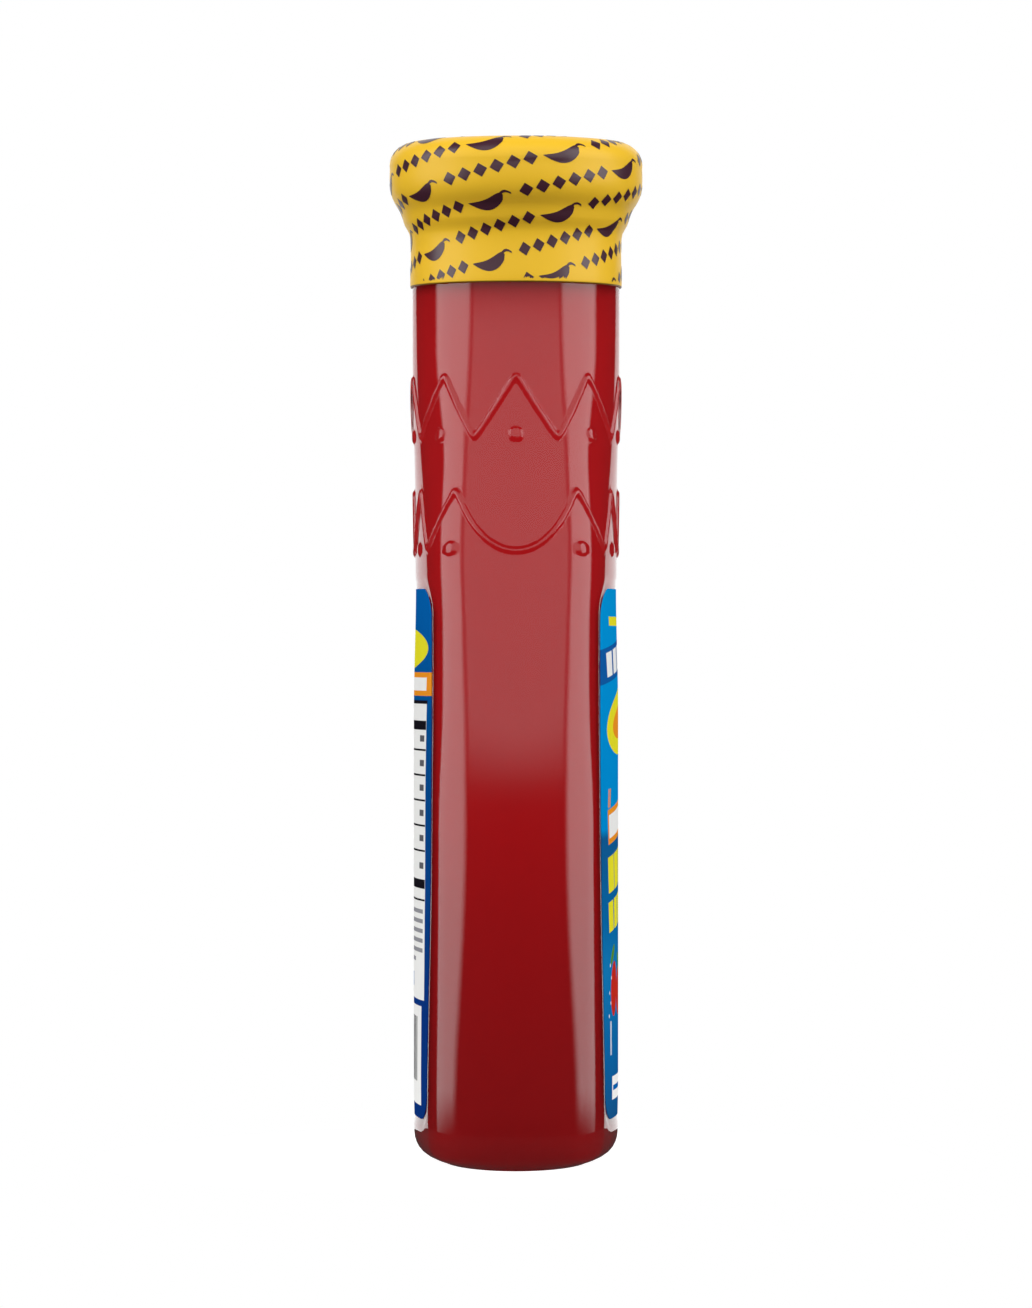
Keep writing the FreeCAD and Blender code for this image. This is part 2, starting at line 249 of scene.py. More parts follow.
# %% World: three lights, a dim room and a white backdrop
# name: (azimuth, half width, low, high, soft side, soft low, soft high) in degrees, strength
lights = {
    "front": ((0, 49, 4.5, 64, 2.5, 7.0, 4.0), 1.35),
    "sides": ((76, 23.5, -6, 45, 4.0, 2.0, 4.0), 3.15),
    "backdrop": ((180, 31, -40, 60, 2.0, 6.0, 6.0), 1.0),
}
room_level = 0.02
white_through_glass = 0.75

world = bpy.data.worlds.new("studio")
bpy.context.scene.world = world
world.use_nodes = True
tree = world.node_tree
tree.nodes.clear()
direction = tree.nodes.new("ShaderNodeTexCoord").outputs["Generated"]
level = room_level
for name, (window, strength) in lights.items():
    box = add(tree, "ShaderNodeGroup", {"Direction": direction}, node_tree=soft_box, label=name)
    for socket, degrees in zip(list(box.inputs)[1:], window):
        socket.default_value = math.radians(degrees)
    level = level + Flow(tree, box.outputs["Mask"]) * strength
studio = add(tree, "ShaderNodeBackground", {"Color": (1, 1, 1, 1), "Strength": level})
plain_white = add(tree, "ShaderNodeBackground", {"Color": (1, 1, 1, 1)})
sees_white = ray(tree, "Camera") + ray(tree, "Transmission") * white_through_glass
surface = mix_shaders(tree, sees_white, studio.outputs[0], plain_white.outputs[0])
add(tree, "ShaderNodeOutputWorld", {"Surface": surface})
bpy.context.scene.view_settings.view_transform = "Standard"
print("lights:", list(lights))

# %% [markdown]
# ## The floor
# The bottle stands on a plain pale table, of which a disc is enough. It glows for the camera and
# through the glass, which makes it as white as the backdrop while the soft shadow under the
# bottle stays. Mirrored in the glass it is dark, because a bright one turns the foot grey.

# %% Floor disc
floor_radius, floor_steps = 0.075, 96
floor_glow, floor_glow_mirrored = 0.85, 0.02
floor_shade, floor_shade_mirrored = 0.5, 0.04

turns = np.linspace(0, 2 * math.pi, floor_steps, endpoint=False)
edge = [(floor_radius * math.cos(turn), floor_radius * math.sin(turn), 0.0) for turn in turns]
floor_mesh = bpy.data.meshes.new("floor")
floor_mesh.from_pydata(edge, [], [list(range(floor_steps))])
floor = bpy.data.objects.new("floor", floor_mesh)
bpy.context.scene.collection.objects.link(floor)
material, tree, out = new_material("pale_table")
shade = ray(tree, "Glossy") * (floor_shade_mirrored - floor_shade) + floor_shade
pale = add(tree, "ShaderNodeBsdfDiffuse", {"Color": shade})
seen = ray(tree, "Camera") + ray(tree, "Glossy") * floor_glow_mirrored + ray(tree, "Transmission")
glow = add(tree, "ShaderNodeEmission", {"Strength": seen.math("MINIMUM", 1.0) * floor_glow})
both = add(tree, "ShaderNodeAddShader", {0: pale.outputs[0], 1: glow.outputs[0]})
feed(tree, out.inputs["Surface"], both.outputs[0])
floor_mesh.materials.append(material)
print("floor radius", floor_radius, "m")

# %% [markdown]
# ## The shape of the glass as a formula
# A blown bottle has no flat drawing to extrude: it is oval and flat-sided low down and round at the
# neck. Every level section is a chain of tangent arcs. The CAD part has three to a quarter: side,
# corner and panel. Here four arcs take their place, from the narrow end to the middle of the
# label: nose, cheek, side and middle. Under the shoulder the cheek turns faster, which keeps
# the bright streaks of the side lights narrow. All sizes are millimetres until a mesh is made,
# and numpy works out thousands of points at once.

# %% Sizes and levels
half_body_width, half_body_depth = 32.0, 18.2
foot_taper, foot_tuck, tuck_end = 0.5, 0.4, 17.0
neck, flare_start, flare_end = 18.33, 64.5, 154.5
panel_low, panel_top = 7.0, 102.8
waist_dip, waist_zone = 0.37, (panel_top - 24, panel_top - 1)
rounding_zone = (panel_top + 9, panel_top + 39)


def blend(level, start, end):
    """0 up to start, 1 from end on, and a smooth S between them."""
    share = np.clip((np.asarray(level, float) - start) / (end - start), 0, 1)
    return (1 - np.cos(math.pi * share)) / 2


def between(low, high, share):
    return low + (high - low) * share


def tuck(level):
    """How far the foot draws in before the heel."""
    return foot_tuck * (1 - np.clip(np.asarray(level, float) / tuck_end, 0, 1)) ** 2


def half_width(level):
    tapered = half_body_width - foot_taper * (1 - blend(level, 0, flare_start)) - tuck(level)
    return between(tapered, neck, blend(level, flare_start, flare_end))


def half_depth(level):
    dipped = half_body_depth - tuck(level) - waist_dip * blend(level, *waist_zone)
    return between(dipped, neck, blend(level, *rounding_zone))


print("half width at the label's middle:", round(float(half_width(55)), 2))

# %% Arcs of a level section
# Turns are in degrees, from the narrow end or, for the panel, from the label's middle.
side_turn, side_turn_shoulder = 50.0, 43.0
panel_turn_foot, panel_turn, panel_turn_shoulder = 13.0, 16.5, 15.0
turn_zone, corner = (panel_top - 30, panel_top + 10), 3.0
nose_turn_foot, nose_turn, nose_turn_top = 27.0, 38.0, 34.0
nose_widens, nose_narrows = (10, 60), (75, 100)
cheek_end, pinch_turn, pinch_radius = 50.0, 9.5, 10.0
pinch_starts, pinch_ends = (60, 88), (120, 146)


def solved(a, b, u, c, d, v):
    """The x and y for which a x + b y = u and c x + d y = v."""
    whole = a * d - b * c
    return (u * d - b * v) / whole, (a * v - c * u) / whole


def panel_arc(level, inset=0.0):
    """Half the turn and the radius of the CAD part's arc behind a label."""
    shoulder = blend(level, *turn_zone)
    side_end = np.radians(between(side_turn, side_turn_shoulder, shoulder))
    low_turn = between(panel_turn_foot, panel_turn, blend(level, 0, flare_start))
    span = np.radians(between(low_turn, panel_turn_shoulder, shoulder))
    depth = half_depth(level)
    rounding = between(corner, depth, blend(level, panel_top, flare_end - 2))
    _, extra = solved(1 - np.cos(side_end), np.sin(span), half_width(level) - inset - rounding,
                      np.sin(side_end), 1 - np.cos(span), depth - inset - rounding)
    return span, rounding + extra


def section(level, inset=0.0):
    """Turns where the four arcs of a quarter meet, their radii and their centres, nose first."""
    span, panel_r = panel_arc(level, inset)
    width, depth = half_width(level) - inset, half_depth(level) - inset
    meet = math.pi / 2 - span
    low_turn = between(nose_turn_foot, nose_turn, blend(level, *nose_widens))
    first = np.radians(between(low_turn, nose_turn_top, blend(level, *nose_narrows)))
    nose_r, cheek_r = solved(
        np.sin(first), np.sin(meet) - np.sin(first), depth - panel_r * (1 - np.cos(span)),
        1 - np.cos(first), np.cos(first) - np.cos(meet), width - panel_r * np.sin(span))
    # Under the shoulder the nose arc ends sooner.
    pinch = blend(level, *pinch_starts) * (1 - blend(level, *pinch_ends))
    first = first - np.radians(pinch_turn) * pinch
    cheek_r = between(cheek_r, pinch_radius, pinch)
    second = np.full_like(meet, math.radians(cheek_end))
    across = depth - nose_r * np.sin(first) - cheek_r * (np.sin(second) - np.sin(first))
    along = width - nose_r * (1 - np.cos(first)) - cheek_r * (np.cos(first) - np.cos(second))
    side_r, middle_r = solved(np.sin(meet) - np.sin(second), 1 - np.sin(meet), across,
                              np.cos(second) - np.cos(meet), np.cos(meet), along)
    zero = np.zeros_like(meet)
    turns = np.stack([zero, first, second, meet, zero + math.pi / 2])
    radii = np.stack([nose_r, cheek_r, side_r, middle_r])
    shifts = radii[:-1] - radii[1:]
    x = width - nose_r + np.concatenate([[zero], np.cumsum(shifts * np.cos(turns[1:4]), 0)])
    y = np.concatenate([[zero], np.cumsum(shifts * np.sin(turns[1:4]), 0)])
    return turns, radii, x, y


print("radii at the label's middle:", section(np.array([55.0]))[1][:, 0].round(1))

# %% Points on a section
def quarter_point(level, share, offset=0.0, inset=0.0):
    """Point and outward direction at a share (0 at +X, 1 at +Y) of one quarter of a section."""
    level, share = np.broadcast_arrays(np.atleast_1d(np.asarray(level, float)), share)
    turns, radii, centre_x, centre_y = section(level, inset)
    lengths = np.diff(turns, axis=0) * radii
    ends = np.concatenate([[np.zeros_like(level)], np.cumsum(lengths, 0)]) / lengths.sum(0)
    arc = np.sum(share > ends[1:4], axis=0)[None]

    def pick(table):
        return np.take_along_axis(table, arc, 0)[0]

    start, end = pick(ends[:-1]), pick(ends[1:])
    turn = between(pick(turns[:-1]), pick(turns[1:]), (share - start) / (end - start))
    radius = pick(radii) + offset
    return (pick(centre_x) + radius * np.cos(turn), pick(centre_y) + radius * np.sin(turn),
            np.cos(turn), np.sin(turn))


print("a quarter's middle at the body:", [round(float(v[0]), 2) for v in quarter_point(55.0, 0.5)[:2]])

# %% Rows of points round the bottle
class Ring:
    """The columns round the bottle, counterclockwise from +X, with each quarter's mirror signs."""

    def __init__(self, per_quarter):
        self.count = 4 * per_quarter
        quarter, step = np.divmod(np.arange(self.count), per_quarter)
        self.share = np.where(quarter % 2 == 0, step, per_quarter - step) / per_quarter
        self.sign_x = np.where((quarter == 0) | (quarter == 3), 1.0, -1.0)
        self.sign_y = np.where(quarter < 2, 1.0, -1.0)

    def row(self, level, offset=0.0, inset=0.0):
        """Points and outward directions of one row; level may differ from column to column."""
        level = np.broadcast_to(np.asarray(level, float), (self.count,))
        x, y, nx, ny = quarter_point(level, self.share, offset, inset)
        points = np.stack([x * self.sign_x, y * self.sign_y, level], 1)
        outward = np.stack([nx * self.sign_x, ny * self.sign_y, np.zeros(self.count)], 1)
        return points, outward


ring = Ring(96)
print("columns:", ring.count)

# %% [markdown]
# ## From rows of points to a mesh
# Each piece here is a stack of closed rows, so one helper joins neighbouring rows with
# four-sided faces and closes a first or last row to a point. Another moves the piece from
# millimetres to metres and shades it smooth.

# %% Helpers for meshes
def make_piece(name, vertices, faces, smooth=True):
    mesh = bpy.data.meshes.new(name)
    mesh.from_pydata([tuple(v) for v in np.asarray(vertices) * MM], [], faces)
    mesh.polygons.foreach_set("use_smooth", [smooth] * len(mesh.polygons))
    mesh.validate()
    mesh.update()
    piece = bpy.data.objects.new(name, mesh)
    bpy.context.scene.collection.objects.link(piece)
    return piece


def stack(rows, close=True):
    """Vertices and faces of a skin over closed rows of equal length, first row lowest."""
    count = len(rows[0])
    vertices = np.concatenate(rows)
    faces = []
    for a in range(0, (len(rows) - 1) * count, count):
        for j in range(count):
            k = (j + 1) % count
            faces.append((a + j, a + k, a + count + k, a + count + j))
    for row in (0, len(rows) - 1) if close else ():
        middle = len(vertices)
        vertices = np.concatenate([vertices, rows[row].mean(0)[None]])
        for j in range(count):
            this, following = row * count + j, row * count + (j + 1) % count
            faces.append((this, following, middle) if row else (following, this, middle))
    return vertices, faces


def triangles(piece):
    piece.data.calc_loop_triangles()
    return len(piece.data.loop_triangles)


print("mesh helpers ready")

# %% [markdown]
# ## The raised zigzag lines
# The mould presses two zigzag lines and a dot under each peak into the shoulder. Each stroke runs
# straight from a peak to a valley over the curved glass. Here the strokes become a string of
# close points on the surface, and a search tree then tells how far any point of the glass lies
# from them. That distance is turned into a rounded ridge, so no separate solid meets the glass.

# %% Strokes and dots on the surface
zigzag_height, dot_lift = 10.5, 0.4
low_valley = panel_top + 4.7
high_valley = low_valley + zigzag_height + 9.5
ridge_half, ridge_high = 0.66, 0.48
dot_radius, dot_high = 1.4, 0.45
side_peaks = [27.0, 57.0, 90.0, 123.0, 153.0]
low_peaks = side_peaks + [p + 180 for p in side_peaks]
high_peaks = [20.0 + 40 * k for k in range(9)]
stroke_steps = 120


def polar_point(level, degrees):
    """The point of the glass in a direction round the axis."""
    angle = math.radians(degrees)
    cosine, sine = abs(math.cos(angle)), abs(math.sin(angle))
    shares = np.linspace(0, 1, 721)
    x, y, _, _ = quarter_point(level, shares)
    share = np.interp(math.atan2(sine, cosine), np.arctan2(y, x), shares)
    x, y, _, _ = quarter_point(level, share)
    return (math.copysign(x[0], math.cos(angle)), math.copysign(y[0], math.sin(angle)), level)


def zigzag(peaks, valley, bowls):
    """A line as degrees, levels and points; its corners are eased, and a bowl has curved sides."""
    turns, levels = [], []
    for start, end in zip(peaks, peaks[1:] + [peaks[0] + 360]):
        curve = 2.0 if (start + end) / 2 % 360 in bowls else 1.0
        for share in np.linspace(-1, 1, stroke_steps, endpoint=False):
            turns.append(between(start, end, (share + 1) / 2))
            levels.append(valley + zigzag_height * abs(share) ** curve)
    levels = np.array(levels)
    for _ in range(2):
        levels = sum(np.roll(levels, k) for k in range(-3, 4)) / 7
    levels = valley + (levels - levels.min()) * zigzag_height / np.ptp(levels)
    return np.array(turns), levels, [polar_point(z, a) for a, z in zip(turns, levels)]


def search_tree(points):
    tree = kdtree.KDTree(len(points))
    for i, point in enumerate(points):
        tree.insert(point, i)
    tree.balance()
    return tree


lines = [zigzag(low_peaks, low_valley, (0, 180)), zigzag(high_peaks, high_valley, ())]
dots = [polar_point(valley + dot_lift, p) for peaks, valley in
        ((low_peaks, low_valley), (high_peaks, high_valley)) for p in peaks]
stroke_tree = search_tree([p for line in lines for p in line[2]])
dot_tree = search_tree(dots)


def relief(points):
    """How far each point is raised by the ridges and dots."""
    lift = np.zeros(len(points))
    for i, point in enumerate(points):
        away = stroke_tree.find(point)[2]
        if away < ridge_half:
            lift[i] = ridge_high * (1 - (away / ridge_half) ** 2)
        away = dot_tree.find(point)[2]
        if away < dot_radius:
            lift[i] = max(lift[i], dot_high * (1 - (away / dot_radius) ** 4))
    return lift


print("points along the lines:", [len(line[2]) for line in lines], "dots:", len(dots))

# %% [markdown]
# ## The glass
# The outside is a stack of rows from the middle of the foot up to the mouth, and the inside
# comes back down to the cavity's floor, so the glass is one closed wall of real thickness.
# The foot is pushed up in the middle and stands on an oval edge. Between the label panels and
# the neck the rows bend with the zigzag lines. Such rows cross each ridge at the same place,
# which keeps it smooth with far fewer faces than a plain grid.

# %% Helpers for the outside rows
panel_recess, panel_corner, panel_slope = 0.2, 6.0, (-0.5, 0.35)


def panel_depth(points):
    """0 outside the label panels and 1 inside, with a narrow slope along their outline."""
    x, level = np.abs(points[:, 0]), points[:, 2]
    span, radius = panel_arc(level)
    dx = x - radius * np.sin(span) + panel_corner
    dz = np.abs(level - (panel_low + panel_top) / 2) - (panel_top - panel_low) / 2 + panel_corner
    past_corner = np.hypot(np.maximum(dx, 0), np.maximum(dz, 0))
    outside = past_corner + np.minimum(np.maximum(dx, dz), 0) - panel_corner
    return 1 - blend(outside, *panel_slope)


def body_rows(levels, with_relief=False):
    rows = []
    for level in levels:
        points, outward = ring.row(level)
        lift = -panel_recess * panel_depth(points)
        if with_relief:
            lift = lift + relief(points)
        rows.append(points + outward * lift[:, None])
    return rows


def spread(*stretches):
    """Numbers along stretches of (start, end, count), each without its end."""
    return np.concatenate([np.linspace(*stretch, endpoint=False) for stretch in stretches])


ridge_zone = 1.9
dots_from, dots_to = -1.3, 2.1


def zigzag_levels(line, valley, low, high):
    """Rows between two plain levels: close ones over the dots, and some that bend with the line."""
    turns, levels, _ = line
    wave = np.full(ring.count, (low + high) / 2)
    for _ in range(8):
        points, _ = ring.row(wave)
        degrees = np.degrees(np.arctan2(points[:, 1], points[:, 0])) % 360
        wave = np.interp(degrees, np.r_[turns - 360, turns], np.r_[levels, levels])
    room = wave - ridge_zone - low
    first, last = valley + dots_from - low, valley + dots_to - low
    under_peak = spread((0, first, 6), (first, last, 20), (last, room.max(), 6)) / room.max()
    weight = (room - room.min()) / np.ptp(room)
    rows = [low + room * between(k / len(under_peak), share, weight)
            for k, share in enumerate(under_peak)]
    rows += [wave + d for d in spread((-ridge_zone, ridge_zone, 17))]
    return rows + [between(wave + ridge_zone, high, share) for share in spread((0, 1, 8))]


print("row helpers ready")

# %% Outside rows of the glass
heel, push_up = 5.2, 3.2
foot_oval, contact_oval = (22.0, 9.5), (26.5, 12.9)
low_waves, high_waves, neck_start = 104, 121.5, 142


def on_oval(points, oval):
    """The points moved in or out onto an oval, at their own levels."""
    turn = np.arctan2(points[:, 1] / oval[1], points[:, 0] / oval[0])
    return np.stack([oval[0] * np.cos(turn), oval[1] * np.sin(turn), points[:, 2]], 1)


def toward_middle(row, rise, shares):
    """Rows between an edge and the middle, rising by a smooth dome on the way in."""
    inner = [row * share for share in shares]
    for points, share in zip(inner, shares):
        points[:, 2] = row[:, 2] + rise * (1 + math.cos(math.pi * share)) / 2
    return inner


rim_points = on_oval(ring.row(0.0, inset=heel)[0], contact_oval)
hollow_edge = on_oval(rim_points, foot_oval)
outside = toward_middle(hollow_edge, push_up, np.linspace(0.1, 1, 9))
outside += [between(hollow_edge, rim_points, share) for share in (0.35, 0.7)]
for turn in spread((0, math.pi / 2, 10)):
    points, _ = ring.row(heel * (1 - math.cos(turn)), inset=heel * (1 - math.sin(turn)))
    outside.append(between(points, on_oval(points, contact_oval), math.cos(turn) ** 6))
outside += body_rows(spread((heel, 14, 15), (14, 96, 25), (96, low_waves, 14)))
outside += body_rows(zigzag_levels(lines[0], low_valley, low_waves, high_waves), True)
outside += body_rows(zigzag_levels(lines[1], high_valley, high_waves, neck_start), True)
outside += body_rows(np.linspace(neck_start, flare_end, 8))
print("outside rows:", len(outside))

# %% Mouth, from the bead up and over the rim
bead_low, bead_top, bead_out = 164.5, 167.1, 1.25
mouth_top, mouth_bore, mouth_out, rim = 179.3, 16.2, 0.9, 0.8
wall = 2.1
bead_middle = (bead_low + bead_top) / 2
round_turns = np.linspace(0.3, math.pi / 2, 5)
lathe = [(neck, 160.0), (neck, bead_low)]
lathe += [(neck + bead_out * math.sin(t), bead_middle - (bead_middle - bead_low) * math.cos(t))
          for t in round_turns]
lathe += [(neck + between(bead_out, mouth_out, s), between(bead_middle, bead_top, s)) for s in (0.5, 1.0)]
lathe += [(neck + mouth_out, mouth_top - rim)]
lathe += [(neck + mouth_out - rim * (1 - math.cos(t)), mouth_top - rim * (1 - math.sin(t)))
          for t in round_turns]
lathe += [(mouth_bore + 0.1, mouth_top), (mouth_bore, mouth_top - 0.2), (mouth_bore, bead_low),
          (neck - wall, bead_low - 0.3)]


def lathe_row(columns, radius, level):
    row = columns.row(flare_end)[0] * (radius / neck)
    row[:, 2] = level
    return row


outside += [lathe_row(ring, r, z) for r, z in lathe]
print("rows up to the mouth:", len(outside))

# %% Inside rows, and the finished glass
base, cavity_heel, cavity_dome = 2.5, 7.0, 1.6
dome_shares = (0.8, 0.6, 0.4, 0.2)


def cavity_rows(columns, offset, floor_level):
    """Rows of the rounding at the cavity's floor, from its side in."""
    return [columns.row(floor_level + cavity_heel * (1 - math.cos(turn)), offset,
                        cavity_heel * (1 - math.sin(turn)))[0]
            for turn in np.linspace(math.pi / 2, 0, 9)[1:]]


inside = [ring.row(level, -wall)[0] for level in np.linspace(flare_end, base + cavity_heel, 18)]
inside += cavity_rows(ring, -wall, base)
inside += toward_middle(inside[-1], cavity_dome, dome_shares)
glass = make_piece("glass", *stack(outside + inside))
print("glass:", triangles(glass), "triangles")

# %% [markdown]
# ## Clear glass
# Glass has no colour of its own here: it bends light (IOR 1.5) and mirrors the studio. A path
# tracer finds light through a curved wall only by luck, so for shadow rays the glass counts as clear,
# which lets the studio light the sauce directly. A faint wave in the surface comes from the mould.

# %% Glass material
material, tree, out = new_material("clear_glass")
shader = add(tree, "ShaderNodeBsdfPrincipled", {
    "Base Color": (1, 1, 1, 1), "Roughness": 0.0, "IOR": 1.5, "Transmission Weight": 1.0,
    "Normal": bump(tree, noise(tree, scale=90.0, detail=1.0), strength=0.05, distance=0.0002)})
clear = tree.nodes.new("ShaderNodeBsdfTransparent")
surface = mix_shaders(tree, ray(tree, "Shadow"), shader.outputs[0], clear.outputs[0])
feed(tree, out.inputs["Surface"], surface)
glass.data.materials.append(material)
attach(glass, "root")
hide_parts("bottle")
print("glass material ready")

# %% [markdown]
# ## The sauce
# Sauce wets the glass, so there is no air between them. If both surfaces lay in the same place the
# tracer could not tell them apart, and a gap would shine like a mirror. The sauce is therefore a
# filling that reaches a little into the wall. Light then passes glass and meets sauce, as it does
# really. The red is painted darker towards the foot, as painted shade for the weaker light low down.

# %% Sauce filling
into_wall, fill_level = 0.15, 160.3
small_ring = Ring(40)
heel_rows = cavity_rows(small_ring, into_wall - wall, base - into_wall)
rows = (heel_rows + toward_middle(heel_rows[-1], cavity_dome, dome_shares))[::-1]
rows += [small_ring.row(z, into_wall - wall)[0] for z in np.linspace(base + cavity_heel, flare_end, 56)]
rows.append(lathe_row(small_ring, neck - wall + into_wall, fill_level))
sauce = make_piece("sauce_filling", *stack(rows))
print("sauce:", triangles(sauce), "triangles")

# %% Sauce material
# The ramp of reds, darker from the neck down to the foot, is painted shade, not the sauce's own colour.
shaded_foot_red, middle_red, neck_red = srgb(131, 10, 14), srgb(166, 12, 18), srgb(168, 13, 19)
neck_red_from = 0.12
material, tree, out = new_material("red_sauce")
_, _, z = split(tree, object_place(tree))
rise = add(tree, "ShaderNodeMapRange", {"Value": z, "From Max": neck_red_from}).outputs[0]
shades = add(tree, "ShaderNodeValToRGB", {0: rise})
shades.color_ramp.elements[0].color = shaded_foot_red
shades.color_ramp.elements[1].color = neck_red
shades.color_ramp.elements.new(0.5).color = middle_red
pulp = noise(tree, scale=260.0, detail=3.0) * 0.2
tint = mix_colours(tree, pulp, shades.outputs[0], (0.8, 0.7, 0.7, 1), "MULTIPLY")
shader = add(tree, "ShaderNodeBsdfPrincipled", {
    "Base Color": tint, "Roughness": 0.6, "Specular IOR Level": 0.05})
feed(tree, out.inputs["Surface"], shader.outputs[0])
sauce.data.materials.append(material)
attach(sauce, "root")
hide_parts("sauce")
print("sauce material ready")

# %% [markdown]
# ## The shrink band
# A printed plastic sleeve is shrunk over the cap and the neck, so its outline shows the cap, the
# rolled edge and the glass bead under it. It is turned from one outline, like on a lathe, with
# the film's own thickness folded in under the top and at the lower hem.

# %% Band outline
band_bottom, film, clearance = 154.4, 0.25, 0.05
top_turn, top_centre = 4.1, (18.35, 175.9)
# From the hem past the bead, the mouth and the cap's rolled edge up its skirt: radius, level.
band_side = [
    (18.74, 154.4), (18.80, 154.9), (18.78, 156.2), (18.74, 157.6), (18.70, 159.4), (18.68, 161.0),
    (18.70, 162.3), (18.80, 163.3), (18.94, 164.0), (19.37, 164.8), (19.76, 165.5), (19.98, 166.1),
    (20.15, 166.8), (20.39, 167.5), (20.70, 168.2), (21.20, 168.9), (21.66, 169.7), (21.98, 170.4),
    (22.19, 171.1), (22.33, 171.8), (22.42, 172.6), (22.45, 173.6), (22.44, 174.6), (22.41, 175.3)]
band_side += [(top_centre[0] + top_turn * math.cos(t), top_centre[1] + top_turn * math.sin(t))
              for t in np.linspace(0.0, math.pi / 2, 22)]
band_side += [(17.4, 180.0), (16.2, 180.0), (15.0, 179.98)]
band_side = [(r - clearance, z - clearance if z > band_bottom else z) for r, z in band_side]
print("band outline:", len(band_side), "points")

# %% Turn the band
def turned(outline, steps):
    a = np.linspace(0, 2 * math.pi, steps, endpoint=False)
    return [np.stack([radius * np.cos(a), radius * np.sin(a), np.full(steps, level)], 1)
            for radius, level in outline]


def moved_in(outline, inward):
    """The outline moved towards its left-hand side, which is the axis for one that climbs."""
    line = np.array(outline)
    heading = np.gradient(line, axis=0)
    heading /= np.linalg.norm(heading, axis=1)[:, None]
    return line + inward * np.stack([-heading[:, 1], heading[:, 0]], 1)


rows = turned(band_side + [tuple(p) for p in moved_in(band_side, film)[::-1]], 160)
band = make_piece("shrink_band", *stack(rows + rows[:1], close=False))
joined = bmesh.new()
joined.from_mesh(band.data)
bmesh.ops.remove_doubles(joined, verts=joined.verts, dist=1e-7)
joined.to_mesh(band.data)
joined.free()
print("band:", triangles(band), "triangles")

# %% [markdown]
# ## Printed film and lacquer
# Printed plastic has an even ink colour with a very fine unevenness and a soft gloss. That
# unevenness shows on the film, the print, the labels and the lacquered cap alike, so it is one
# node group with its own strength in each material.

# %% Node group: fine unevenness of ink
group, got, out = new_group(
    "ink_unevenness",
    [("Colour", "Color", (1, 1, 1, 1)), ("Amount", "Float", 0.04), ("Scale", "Float", 300.0),
     ("Gloss", "Float", 0.3)],
    [("Colour", "Color"), ("Roughness", "Float"), ("Height", "Float")])
fine = noise(group, got["Scale"], detail=4.0)
around = fine - 0.5
scaled = add(group, "ShaderNodeVectorMath", {0: got["Colour"], "Scale": around * got["Amount"] + 1.0},
             operation="SCALE")
feed(group, out.inputs["Colour"], scaled.outputs[0])
feed(group, out.inputs["Roughness"], around * 0.1 + got["Gloss"])
feed(group, out.inputs["Height"], fine)
ink_unevenness = group


def printed_material(name, colour, gloss, amount=0.05, scale=300.0, shine=0.5):
    """A material of one ink, its tree and the node that takes its colour."""
    material, tree, out = new_material(name)
    inputs = {"Colour": colour, "Amount": amount, "Scale": scale, "Gloss": gloss}
    ink = add(tree, "ShaderNodeGroup", inputs, node_tree=ink_unevenness)
    shader = add(tree, "ShaderNodeBsdfPrincipled", {
        "Base Color": ink.outputs["Colour"], "Roughness": ink.outputs["Roughness"],
        "Specular IOR Level": shine,
        "Normal": bump(tree, ink.outputs["Height"], strength=0.25, distance=0.00001)})
    feed(tree, out.inputs["Surface"], shader.outputs[0])
    return material, tree, ink


print("ink group ready")

# %% Yellow film with its dark hem line
yellow, hem_brown, plum = srgb(254, 203, 50), srgb(150, 104, 40), srgb(70, 35, 50)
hem_line, hem_soft = 0.2, 0.1
material, tree, ink = printed_material("yellow_film", yellow, 0.36, amount=0.02, shine=0.2)
_, _, z = split(tree, object_place(tree))
hem_end = band_bottom + hem_line
past_hem = ramp(z, hem_end * MM, (hem_end + hem_soft) * MM)
feed(tree, ink.inputs["Colour"], mix_colours(tree, past_hem, hem_brown, yellow))
band.data.materials.append(material)
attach(band, "root")
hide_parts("band")
plum_ink = printed_material("plum_print", plum, 0.3)[0]
print("film ready")

# %% [markdown]
# ## Print on the band
# Rows of the same small motif climb round the sleeve: a few dark lozenges and a simple pod.
# Drawing each would be long, and an image would blur close up. Geometry Nodes suit it: the motif
# is made once, flat, and set out in slanting rows. Then every point is laid on the film by
# sampling the band's outline at the point's height and turning it round the axis. A whole number
# of rows and motifs go round, so the pattern meets itself.

# %% Helpers for geometry nodes
def vector(tree, x, y, z):
    return add(tree, "ShaderNodeCombineXYZ", {"X": x, "Y": y, "Z": z}).outputs[0]


def apply_nodes(piece, tree, **values):
    """Run a geometry node tree on a piece, keep the result as its plain mesh, drop the modifier."""
    modifier = piece.modifiers.new(tree.name, "NODES")
    modifier.node_group = tree
    for item in tree.interface.items_tree:
        if item.in_out == "INPUT" and item.name in values:
            modifier[item.identifier] = values[item.name]
    bpy.context.view_layer.update()
    graph = bpy.context.evaluated_depsgraph_get()
    mesh = bpy.data.meshes.new_from_object(piece.evaluated_get(graph), depsgraph=graph)
    piece.modifiers.remove(modifier)
    piece.data = mesh
    return piece


print("geometry node helpers ready")

# %% Node tree: the motif, flat
wrap, size, out = new_group(
    "wrapped_print",
    [("Geometry", "Geometry"), ("Round", "Int", 5), ("Rows", "Int", 14), ("Row Spacing", "Float", 0.0054),
     ("Rows Per Turn", "Int", 6), ("Radius", "Float", 0.0206), ("Stagger", "Float", 0.5),
     ("Proud", "Float", 4e-5), ("Hem Margin", "Float", 0.0006), ("Lozenge Height", "Float", 0.0025),
     ("Lozenge Width", "Float", 0.0023), ("Lozenge Spacing", "Float", 0.0028),
     ("Pod Length", "Float", 0.0066), ("Pod Width", "Float", 0.0027), ("Stalk Length", "Float", 0.0022),
     ("Stalk Width", "Float", 0.0006), ("Print", "Material")],
    [("Geometry", "Geometry")], "GeometryNodeTree")


